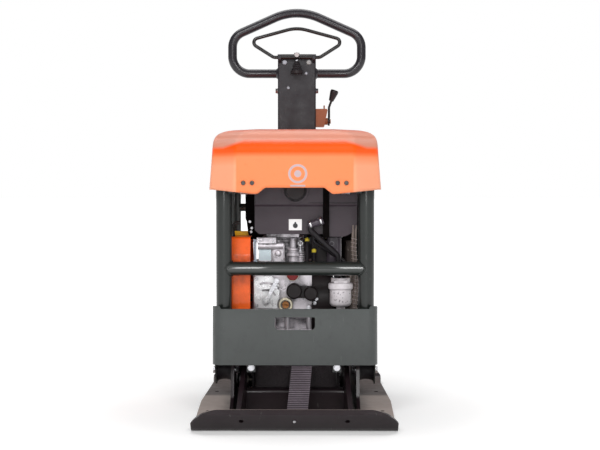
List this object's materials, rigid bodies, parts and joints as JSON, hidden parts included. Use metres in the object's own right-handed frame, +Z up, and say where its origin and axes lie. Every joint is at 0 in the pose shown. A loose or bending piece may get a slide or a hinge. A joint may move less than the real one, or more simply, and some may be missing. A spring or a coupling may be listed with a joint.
{
  "type": "plate compactor",
  "caption": "Reversible walk-behind plate compactor with a turned-up sole plate, sprung tube frame, hooded diesel engine and folding mast.",
  "frame": {"origin": "on the ground under the middle of the sole plate", "axes": "+Z up, -Y is the machine's front, +Y the operator's end, X across the plate and along the shafts"},
  "size_m": [0.616, 0.9766, 1.3262],
  "materials": {
    "dark_frame_paint": "satin powder coat",
    "mast_paint": "satin powder coat",
    "base_paint": "worn satin paint",
    "cast_housing": "rough cast, painted",
    "orange_moulding": "semi-gloss moulded",
    "orange_paint": "semi-gloss paint",
    "black_plastic": "moulded, slightly rough",
    "tank_plastic": "rotomoulded",
    "red_plastic": "moulded",
    "white_plastic": "moulded",
    "yellow_plastic": "moulded",
    "brown_plastic": "moulded",
    "rubber_black": "matt",
    "strap_rubber": "ribbed",
    "cast_aluminium": "as cast and bead blasted",
    "zinc_steel": "zinc plated",
    "dark_steel": "oiled",
    "exhaust_steel": "heat tinted"
  },
  "bodies": {
    "base": {"base_plate": "base_paint", "base_ribs": "base_paint", "exciter_housing": "cast_housing", "exciter_bearings": "dark_steel", "bearing_covers": "cast_housing", "base_fasteners": "zinc_steel", "shock_buffers": "rubber_black", "limit_strap": "strap_rubber", "drive_belt": "rubber_black"},
    "front_shaft": {"exciter_shaft_a": "dark_steel", "exciter_gear_a": "dark_steel", "exciter_pulley": "dark_steel"},
    "rear_shaft": {"exciter_shaft_b": "dark_steel", "exciter_gear_b": "dark_steel"},
    "frame": {"side_plates": "dark_frame_paint", "bumper": "dark_frame_paint", "engine_deck": "dark_frame_paint", "side_hoops": "dark_frame_paint", "cross_bars": "dark_frame_paint", "mast_bracket": "dark_frame_paint", "mast_stop": "rubber_black", "hood_hinge_pins": "dark_frame_paint", "frame_bolts": "zinc_steel", "crankcase": "cast_aluminium", "engine_cylinder": "cast_aluminium", "injection_pump": "cast_aluminium", "governor_plate": "cast_aluminium", "starter_hub": "zinc_steel", "filter_caps": "black_plastic", "fan_shroud": "black_plastic", "belt_guard": "orange_paint", "guard_fittings": "yellow_plastic", "fuel_tank": "tank_plastic", "tank_holders": "black_plastic", "filter_canister": "white_plastic", "hoses_and_wires": "rubber_black", "intake_duct": "black_plastic", "exhaust_pipe": "exhaust_steel", "heat_shield": "exhaust_steel", "silencer": "exhaust_steel"},
    "crank": {"crankshaft": "dark_steel", "flywheel": "dark_steel", "clutch_shoes": "dark_steel"},
    "drum": {"clutch_drum": "dark_steel"},
    "speed_lever": {"speed_lever": "zinc_steel"},
    "oil_cap": {"oil_filler_cap": "red_plastic"},
    "tank_cap": {"fuel_cap": "black_plastic"},
    "hood": {"hood": "orange_moulding", "hood_hinges": "zinc_steel", "hood_screws": "dark_steel"},
    "mast": {"mast": "mast_paint", "mast_cap": "black_plastic", "mast_bolts": "zinc_steel", "handle_grip": "mast_paint", "control_valve": "black_plastic", "valve_boot": "rubber_black", "throttle_box": "brown_plastic"},
    "travel_lever": {"travel_lever": "mast_paint"},
    "plunger": {"valve_plunger": "zinc_steel"},
    "throttle": {"throttle_lever": "black_plastic"}
  },
  "joints": [
    {"name": "frame_bounce", "type": "slide", "parent": "base", "child": "frame", "axis": [0, 0, 1], "range_m": [-0.006, 0.006], "stiffness_N_per_m": 600000, "springref_m": 0.0024, "deforming": ["shock_buffers", "limit_strap", "drive_belt"]},
    {"name": "front_shaft_spin", "type": "hinge", "parent": "base", "child": "front_shaft", "pos_m": [0, -0.065, 0.092], "axis": [1, 0, 0], "continuous": true},
    {"name": "rear_shaft_spin", "type": "hinge", "parent": "base", "child": "rear_shaft", "pos_m": [0, 0.065, 0.092], "axis": [1, 0, 0], "continuous": true},
    {"name": "drum_spin", "type": "hinge", "parent": "frame", "child": "drum", "pos_m": [-0.163, -0.04, 0.352], "axis": [1, 0, 0], "continuous": true},
    {"name": "crank_spin", "type": "hinge", "parent": "frame", "child": "crank", "pos_m": [0, -0.04, 0.352], "axis": [1, 0, 0], "continuous": true},
    {"name": "speed_lever_swing", "type": "hinge", "parent": "frame", "child": "speed_lever", "pos_m": [-0.092, -0.16, 0.352], "axis": [0, 1, 0], "range_deg": [-20, 20]},
    {"name": "oil_cap_turn", "type": "hinge", "parent": "frame", "child": "oil_cap", "pos_m": [-0.009, -0.17, 0.435], "axis": [0, -1, 0], "range_deg": [0, 90]},
    {"name": "tank_cap_turn", "type": "hinge", "parent": "frame", "child": "tank_cap", "pos_m": [0, -0.205, 0.697], "axis": [0, -1, 0], "range_deg": [0, 90]},
    {"name": "hood_open", "type": "hinge", "parent": "frame", "child": "hood", "pos_m": [0, -0.296, 0.695], "axis": [1, 0, 0], "range_deg": [0, 75]},
    {"name": "mast_tilt", "type": "hinge", "parent": "frame", "child": "mast", "pos_m": [0, 0.33, 0.43], "axis": [-1, 0, 0], "range_deg": [0, 68]},
    {"name": "travel_lever_swing", "type": "hinge", "parent": "mast", "child": "travel_lever", "pos_m": [0, 0.292, 1.154], "axis": [1, 0, 0], "range_deg": [-20, 20]},
    {"name": "plunger_slide", "type": "slide", "parent": "mast", "child": "plunger", "axis": [0, 0, 1], "range_m": [-0.006, 0.006], "deforming": ["valve_boot"]},
    {"name": "throttle_swing", "type": "hinge", "parent": "mast", "child": "throttle", "pos_m": [0.11, 0.33, 0.935], "axis": [1, 0, 0], "range_deg": [-35, 35]}
  ],
  "couplings": [
    {"joint": "rear_shaft_spin", "follows": "front_shaft_spin", "ratio": -1},
    {"joint": "drum_spin", "follows": "front_shaft_spin", "ratio": 1.0917},
    {"joint": "plunger_slide", "follows": "travel_lever_swing", "m_per_rad": -0.012}
  ]
}
